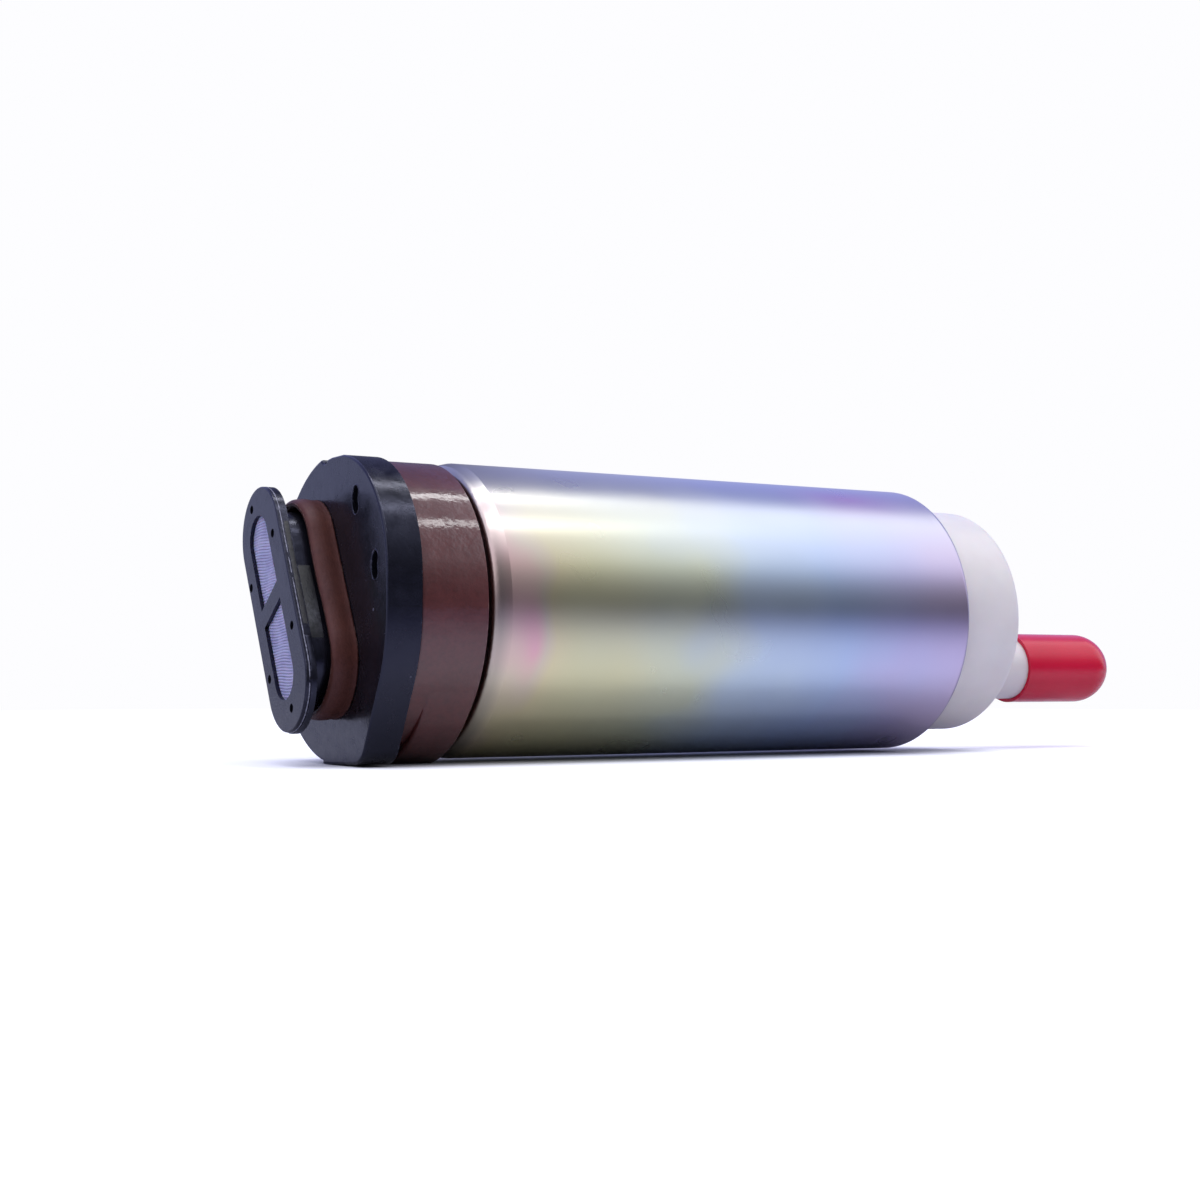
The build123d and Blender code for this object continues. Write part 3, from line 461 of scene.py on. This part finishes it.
def rounded(corners, steps):
    """A closed outline from corners of x, y and radius, each cut off by a round.

    A round is a parabola from one side to the next: the corner and the two points where
    the round starts, weighted by the square of the way along it.
    """
    corners = np.array(corners, float)
    spots, radius = corners[:, :2], corners[:, 2:3]
    before = np.roll(spots, 1, 0) - spots
    after = np.roll(spots, -1, 0) - spots
    before *= radius / np.linalg.norm(before, axis=1, keepdims=True)
    after *= radius / np.linalg.norm(after, axis=1, keepdims=True)
    share = np.linspace(0, 1, steps)[None, :, None]
    start, end = (spots + before)[:, None], (spots + after)[:, None]
    curve = (1 - share) ** 2 * start + 2 * share * (1 - share) * spots[:, None] \
        + share ** 2 * end
    return curve.reshape(-1, 2)


def carried(profile, straight_mm, unevenness):
    """A profile of x and half width carried round the leaning oblong, and pushed about."""
    core, turn = oblong_path(straight_mm)
    push_x, push_out = unevenness(profile, turn, core)
    x_mm = np.repeat(profile[:, :1], len(core), 1) + push_x
    half_mm = np.repeat(profile[:, 1:2], len(core), 1) + push_out
    return on_inlet(x_mm, core + half_mm * np.cos(turn), half_mm * np.sin(turn))


# Pieces
def collar():
    """The rubber collar: a hollow lip that curls out, on a waist and a bead.

    Its profile is carried round the oblong. The lip's rim wanders in and out by slow
    sines of the way round, as soft rubber does. They fade by the square of the way to the
    plate.
    """
    rim, face, back = COLLAR_RIM_MM, PLATE_FACE_MM, COLLAR_BACK_MM
    middle, groove = (face + back) / 2, 0.75
    bore, waist, bead = 5.55, 6.65, 7.25
    profile = rounded([
        (back, bore, 0.1), (rim + 2.1, bore, 0.1), (rim + 2.1, 6.12, 0.25),
        (rim + 0.35, 6.05, 0.3), (rim, 6.45, 0.28), (rim + 0.18, 7.05, 0.45),
        (rim + 1.4, 7.3, 0.7), (face - 0.5, 7.08, 0.5), (face, 7.2, 0.15),
        (face, waist, 0.1), (middle - groove, waist, 0.1), (middle - groove, bead, 0.1),
        (middle + groove, bead, 0.1), (middle + groove, waist, 0.1), (back, waist, 0.1)], 6)

    def wander(outline, turn, core):
        """How far the lip moves along X and outwards at each step."""
        reach = np.clip((face - outline[:, :1]) / (face - rim), 0, 1) ** 2
        way = turn + core / 7.0
        in_out = 0.08 * np.sin(2 * way + 0.6) + 0.02 * np.sin(5 * way + 2.0)
        sideways = 0.04 * np.sin(3 * way) + 0.015 * np.sin(7 * way + 1.0)
        return reach * in_out, reach * sideways * (outline[:, 1:2] > 6.3)

    points = carried(profile, COLLAR_STRAIGHT_MM, wander)
    piece = surface("rubber_collar", points, satin_rubber, "pump",
                    (True, True))
    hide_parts("inlet_grommet")


def wound_springs():
    """Each spring as a piece of its own, carried by the joint's parent body.

    Its mesh is a copy of the wound spring of the frame, whose own spring is hidden.
    """
    for joint in frame["record"]["behaviour"]["joints"]:
        for row in joint.get("deforming_nodes", []):
            node = frame["nodes"][row["node"]]
            piece = bpy.data.objects.new(row["node"] + "_wound", node.data.copy())
            bpy.context.scene.collection.objects.link(piece)
            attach(piece, joint["parent"])
            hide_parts(row["node"])
            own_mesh(piece)


def weld_seam():
    """The thin uneven bead of flash where bezel and base are welded together.

    Its lumps are random steps along it, smoothed over three of them.
    """
    side, half_thick, proud, root = STRAINER_HALF_WIDTH_MM, 0.07, 0.02, 0.1
    front, back = BEZEL_BACK_MM - half_thick, BEZEL_BACK_MM + half_thick
    profile = rounded([(front, side - root, 0.02), (front, side + proud, 0.04),
                       (back, side + proud, 0.04), (back, side - root, 0.02)], 4)

    def ooze(outline, turn, core):
        """How far each lump pushes the bead along X and outwards."""
        steps = len(turn)
        lumps = np.random.default_rng(4).normal(size=steps) * 0.02
        lumps = np.convolve(np.tile(lumps, 3), [0.25, 0.5, 0.25], "same")[steps:2 * steps]
        return 0.6 * lumps[None, :] * np.ones_like(outline[:, :1]), \
            lumps[None, :] * (outline[:, 1:2] > side)

    points = carried(profile, STRAINER_STRAIGHT_MM, ooze)
    # The bead's pale tone is partly a painted highlight.
    surface("weld_seam", points, flash_and_highlight, "strainer", (True, True))


def side_band(name, straight_mm, half_mm, proud_mm, x_range, along_range, material,
              lower=False):
    """A raised stretch of a side: a block's profile carried along part of the oblong.

    It runs between two places along the near side and sinks in at its ends, by the fourth
    power of the way from its middle. With lower set it runs round the lower end from one
    side to the other, at full height.
    """
    root, sunk = 0.3, 0.02
    front, back = x_range
    profile = rounded([(front, half_mm - root, 0.05), (front, half_mm + proud_mm, 0.08),
                       (back, half_mm + proud_mm, 0.08), (back, half_mm - root, 0.05)], 4)
    core, turn = oblong_path(straight_mm, 56, 144)
    chosen = (core > along_range[0]) & (core < along_range[1])
    if not lower:
        chosen &= np.abs(np.sin(turn) - 1) < 1e-6
    core, turn = core[chosen], turn[chosen]
    swell = 1 if lower else 1 - np.linspace(-1, 1, len(core)) ** 4
    out = profile[:, 1][None, :] - half_mm
    half = half_mm + np.where(out > 0, out * np.reshape(swell, (-1, 1)) - sunk, out)
    points = on_inlet(profile[:, 0][None, :], core[:, None] + half * np.cos(turn)[:, None],
                      half * np.sin(turn)[:, None])
    surface(name, points, material, "strainer")


def slot_rims():
    """The rolled edge round each curved slot in the plate: a half round, half sunk in.

    Its line is an arc with rounded ends, and its section a small circle.
    """
    half_width, roll, proud = 0.95, 0.12, 0.07
    swing = np.linspace(-SLOT_HALF_SPAN, SLOT_HALF_SPAN, 24, endpoint=False)
    half_turn = np.linspace(0, np.pi, 16, endpoint=False)
    around = np.linspace(0, 2 * np.pi, 10, endpoint=False)[:, None, None]

    def spoke(angle):
        """The unit step out from a centre at an angle."""
        return np.stack([np.cos(angle), np.sin(angle)], -1)

    for number, degrees in enumerate(SLOT_ANGLES):
        hub = SLOT_CIRCLE_MM * spoke(math.radians(degrees)) - [SLOT_BEND_MM, 0]
        ends = []
        for tip, start in ((SLOT_HALF_SPAN, SLOT_HALF_SPAN),
                           (-SLOT_HALF_SPAN, math.pi - SLOT_HALF_SPAN)):
            ends.append(hub + SLOT_BEND_MM * spoke(tip) + half_width * spoke(start + half_turn))
        line = np.concatenate([
            hub + (SLOT_BEND_MM + half_width) * spoke(swing), ends[0],
            hub + (SLOT_BEND_MM - half_width) * spoke(-swing), ends[1]])
        ahead = np.roll(line, -1, 0) - np.roll(line, 1, 0)
        ahead /= np.linalg.norm(ahead, axis=1, keepdims=True)
        outward = np.stack([ahead[:, 1], -ahead[:, 0]], -1)
        flat = line[None] + outward[None] * roll * np.cos(around)
        x = np.full(flat.shape[:2], PLATE_FACE_MM + proud) + roll * np.sin(around)[..., 0]
        points = np.concatenate([x[..., None], flat], -1) * MM
        surface("slot_rim_%d" % (number + 1), points, finishes["black_plastic"], "pump",
                (True, True))


def gauze():
    """Plain-woven gauze across the strainer's window, with threads level and upright.

    Each thread's height is a cosine of the way along it in thread spacings, up and down
    in turn, and its section is a flat ellipse. The threads stop at an oblong just inside
    the gauze's own. They bend by slow sines of their place, 0.1 mm up and 0.05 mm across,
    and sag by a twenty-fifth of the way across. The real spacing is about 0.26 mm and it
    is drawn as 0.36 mm, so that it shows.
    """
    spacing, lift = 0.36, 0.05
    straight, half = 19.1, 3.72
    half_span, samples, least_inside = 13, 5201, 40
    middle = (GAUZE_LOW + GAUZE_HIGH) / 2 / MM
    axis = np.array([math.sin(LEAN), math.cos(LEAN)])
    around = np.linspace(0, 2 * np.pi, 5, endpoint=False)
    fine = np.linspace(-half_span, half_span, samples)
    bound = axis * straight / 2 + half
    all_points, all_faces, count = [], [], 0
    for level, steps, half_wide, half_thick in ((True, 84, 0.13, 0.07),
                                                (False, 150, 0.1, 0.04)):
        most = math.floor((bound[1] if level else bound[0]) / spacing)
        lines = np.arange(-most, most + 1)
        place = lines[:, None] * spacing
        y, z = (fine[None, :], place) if level else (place, fine[None, :])
        y, z = np.broadcast_arrays(y, z)
        along = np.clip(y * axis[0] + z * axis[1], -straight / 2, straight / 2)
        inside = np.hypot(y - along * axis[0], z - along * axis[1]) < half
        kept = inside.sum(1) > least_inside
        start = fine[inside.argmax(1)][kept]
        end = fine[-1 - inside[:, ::-1].argmax(1)][kept]
        lines = lines[kept]
        way = start[:, None] + (end - start)[:, None] * np.linspace(0, 1, steps)
        sign = np.where(lines % 2 == 0, 1, -1)[:, None] * (1 if level else -1)
        height = sign * lift * np.cos(np.pi * way / spacing)
        run = np.broadcast_to(way[:, :, None], (*way.shape, len(around)))
        cross = (lines * spacing)[:, None, None] + np.broadcast_to(
            half_wide * np.cos(around), run.shape)
        x = height[:, :, None] + half_thick * np.sin(around)
        y, z = (run, cross) if level else (cross, run)
        z = z + 0.10 * np.sin(0.9 * y + 0.35 * z) - 0.04 * y
        y = y + 0.05 * np.sin(0.6 * z)
        points = np.stack([middle[0] + x, middle[1] + y, middle[2] + z], -1)
        index = count + np.arange(x.size).reshape(x.shape)
        beside = np.roll(index, -1, 2)
        quads = np.stack([index[:, :-1], index[:, 1:], beside[:, 1:], beside[:, :-1]], -1)
        all_points.append(points.reshape(-1, 3))
        all_faces += quads.reshape(-1, 4).tolist()
        all_faces += index[:, 0].tolist() + index[:, -1, ::-1].tolist()
        count += x.size
    points = np.concatenate(all_points) * MM
    piece = piece_of("woven_gauze", points, all_faces, finishes["gauze"], "strainer")
    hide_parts("strainer_gauze")


collar()
wound_springs()
weld_seam()
side_band("base_band", STRAINER_STRAIGHT_MM, STRAINER_HALF_WIDTH_MM, proud_mm=0.18,
          x_range=(BEZEL_BACK_MM + 0.14, BEZEL_BACK_MM + 0.9), along_range=(-20.0, -7.4),
          material=finishes["black_plastic"], lower=True)
side_band("base_pad", STRAINER_STRAIGHT_MM, STRAINER_HALF_WIDTH_MM, proud_mm=0.04,
          x_range=(BEZEL_BACK_MM + 0.2, BEZEL_BACK_MM + 0.88), along_range=(-7.3, 10.1),
          material=scuffed)
side_band("neck_pad", COLLAR_STRAIGHT_MM, NECK_HALF_WIDTH_MM, proud_mm=0.25,
          x_range=(BEZEL_BACK_MM + 1.1, COLLAR_RIM_MM - 0.05), along_range=(-7.5, 3.0),
          material=rough_neck)
slot_rims()
gauze()


# Floor, light and camera
def floor():
    """A white floor that fades into the backdrop away from the pump.

    The camera sees it lit, with a glow that darkens within 7 mm of the pump as a painted
    contact shadow. Other rays see paper with painted shade by the distance in front of the
    pump's axis, which is what the can's underside reflects: it is brightest about 29 mm in
    front, darker nearer the pump and behind it as a painted shadow, and dimmer further out.
    """
    half = 3.0
    corners = [(-half, -half, FLOOR_HEIGHT), (half, -half, FLOOR_HEIGHT),
               (half, half, FLOOR_HEIGHT), (-half, half, FLOOR_HEIGHT)]
    mesh = bpy.data.meshes.new("floor")
    mesh.from_pydata(corners, [], [(0, 1, 2, 3)])
    piece = bpy.data.objects.new("floor", mesh)
    bpy.context.scene.collection.objects.link(piece)
    material, tree, shader, place = finish_of("white_paper", {
        "Roughness": 0.8, "Specular IOR Level": 0.2})
    axes = add(tree, "ShaderNodeSeparateXYZ", {"Vector": place})
    front = add(tree, "ShaderNodeMapRange", {
        "Value": axes.outputs["Y"], "From Min": 0.0, "From Max": -0.16})
    # Painted shade for reflected rays: darker near and behind the pump, dimmer far in front.
    painted_shade_tones = [(0.0, "#c8c8d0"), (0.09, "#bebec6"), (0.18, "#e6e6ee"), (0.30, "#dcdce4"),
             (0.45, "#c2c2cc"), (1.0, "#88889a")]
    painted_floor_shade = add(tree, "ShaderNodeValToRGB", {"Fac": front},
                stops=[(share, linear(tone)) for share, tone in painted_shade_tones])
    feed(tree, shader, {"Base Color": painted_floor_shade})
    lit = add(tree, "ShaderNodeBsdfDiffuse", {"Color": linear(WHITE, FLOOR_GAIN)})
    # Painted contact shadow: the glow is dimmed by occlusion within 7 mm of the pump.
    contact = add(tree, "ShaderNodeAmbientOcclusion", {"Distance": 7 * MM}, samples=12)
    open_sky = add(tree, "ShaderNodeMath", {0: contact.outputs["AO"], 1: 1.2},
                   operation="POWER")
    level = add(tree, "ShaderNodeMath", {0: open_sky, 1: FLOOR_GLOW}, operation="MULTIPLY")
    glow = add(tree, "ShaderNodeEmission", {"Color": linear("#f0f0ff"), "Strength": level})
    bright = add(tree, "ShaderNodeAddShader", {0: lit, 1: glow})
    far = add(tree, "ShaderNodeEmission", {"Color": linear(BACKDROP)})
    away = add(tree, "ShaderNodeVectorMath", {0: place}, operation="LENGTH")
    fade = add(tree, "ShaderNodeMapRange", {"Value": away, "From Min": 0.18, "From Max": 0.45})
    faded = add(tree, "ShaderNodeMixShader", {0: fade, 1: bright, 2: far})
    seen = add(tree, "ShaderNodeLightPath").outputs["Is Camera Ray"]
    mixed = add(tree, "ShaderNodeMixShader", {0: seen, 1: shader, 2: faded})
    output = next(node for node in tree.nodes if node.type == "OUTPUT_MATERIAL")
    feed(tree, output, {"Surface": mixed})
    mesh.materials.append(material)


def studio():
    """A pale room whose brightness goes by the angle about the pump's axis.

    The angle is in degrees from the near side's horizon up over the top to the far
    side's. Two curves then dim the room by how far a direction points along the pump,
    from -1 at the inlet to 1 at the outlet: one below 35 degrees and one above 50, with
    a blend between them.
    """
    by_angle = [(0, 0.15, WHITE), (10, 0.18, WHITE), (20, 0.31, WHITE), (30, 0.56, WHITE),
                (40, 1.10, WHITE), (50, 1.45, WHITE), (62, 1.52, WHITE), (80, 1.55, WHITE),
                (96, 1.85, WHITE), (103, 1.40, WHITE), (109, 0.74, BLUE), (120, 0.72, BLUE),
                (145, 0.95, BLUE), (180, 0.80, PALE)]
    below = [(-1.0, 1.0), (-0.7, 0.95), (-0.46, 0.65), (-0.16, 0.27), (0.0, 0.2),
             (0.24, 0.4), (0.44, 0.4), (0.47, 0.65), (0.72, 0.65), (0.86, 0.3), (1.0, 0.25)]
    above = [(-1.0, 0.65), (0.28, 0.65), (0.33, 0.16), (0.435, 0.16), (0.47, 0.65),
             (1.0, 0.65)]
    peak, open_level = 1.85, 0.65
    world = bpy.data.worlds.new("studio")
    bpy.context.scene.world = world
    world.use_nodes = True
    tree = world.node_tree
    tree.nodes.clear()
    direction = add(tree, "ShaderNodeTexCoord").outputs["Generated"]
    axes = add(tree, "ShaderNodeSeparateXYZ", {"Vector": direction})
    ahead = add(tree, "ShaderNodeMath", {0: axes.outputs["Y"], 1: -1.0}, operation="MULTIPLY")
    turn = add(tree, "ShaderNodeMath", {0: axes.outputs["Z"], 1: ahead}, operation="ARCTAN2")
    share = add(tree, "ShaderNodeMath", {0: turn, 1: math.pi}, operation="DIVIDE")
    sky = add(tree, "ShaderNodeValToRGB", {"Fac": share}, stops=[
        (degrees / 180, linear(tint, radiance / peak)) for degrees, radiance, tint in by_angle])
    sideways = add(tree, "ShaderNodeMapRange", {
        "Value": axes.outputs["X"], "From Min": -1.0, "From Max": 1.0})
    dimmed = []
    for levels in (below, above):
        curve = add(tree, "ShaderNodeFloatCurve", {"Value": sideways})
        points = curve.mapping.curves[0].points
        while len(points) < len(levels):
            points.new(0.5, 0.5)
        for point, (side, level) in zip(points, levels):
            point.location = ((side + 1) / 2, level)
            point.handle_type = "VECTOR"
        curve.mapping.update()
        dimmed.append(curve)
    up = add(tree, "ShaderNodeMapRange", {
        "Value": share, "From Min": 35 / 180, "From Max": 50 / 180})
    factor = add(tree, "ShaderNodeMix", {"Factor": up, "A": dimmed[0], "B": dimmed[1]})
    strength = add(tree, "ShaderNodeMath", {0: factor, 1: peak / open_level},
                   operation="MULTIPLY")
    room = add(tree, "ShaderNodeBackground", {"Color": sky, "Strength": strength})
    backdrop = add(tree, "ShaderNodeBackground", {"Color": linear(BACKDROP)})
    seen = add(tree, "ShaderNodeLightPath").outputs["Is Camera Ray"]
    mixed = add(tree, "ShaderNodeMixShader", {0: seen, 1: room, 2: backdrop})
    add(tree, "ShaderNodeOutputWorld", {"Surface": mixed})


def strip_light(name, degrees, width, radiance):
    """A long soft lamp a metre off, at this angle about the pump's axis.

    The angle is counted as in studio(). The power is pi times radiance times area.
    """
    length, distance, shift = 0.9, 1.0, 0.04
    lamp = bpy.data.lights.new(name, "AREA")
    lamp.shape = "RECTANGLE"
    lamp.size = length
    lamp.size_y = width
    lamp.energy = math.pi * radiance * length * width
    piece = bpy.data.objects.new(name, lamp)
    angle = math.radians(degrees)
    piece.location = (shift, -distance * math.cos(angle), distance * math.sin(angle))
    piece.rotation_euler = (math.pi / 2 - angle, 0.0, 0.0)
    bpy.context.scene.collection.objects.link(piece)


def camera():
    """The photograph's viewpoint, low on the inlet side."""
    data = bpy.data.cameras.new("camera")
    data.lens = 56.0
    data.sensor_width = 36.0
    data.clip_start = 0.01
    piece = bpy.data.objects.new("camera", data)
    piece.location = (-0.1407, -0.21744, -0.00883)
    piece.rotation_euler = (math.radians(92.43), 0.0, math.radians(-30.65))
    bpy.context.scene.collection.objects.link(piece)
    bpy.context.scene.camera = piece


bpy.context.scene.view_settings.view_transform = "Standard"
floor()
studio()
strip_light("front_lamp", degrees=68.0, width=0.08, radiance=8.5)
strip_light("rear_lamp", degrees=95.5, width=0.08, radiance=8.0)
camera()
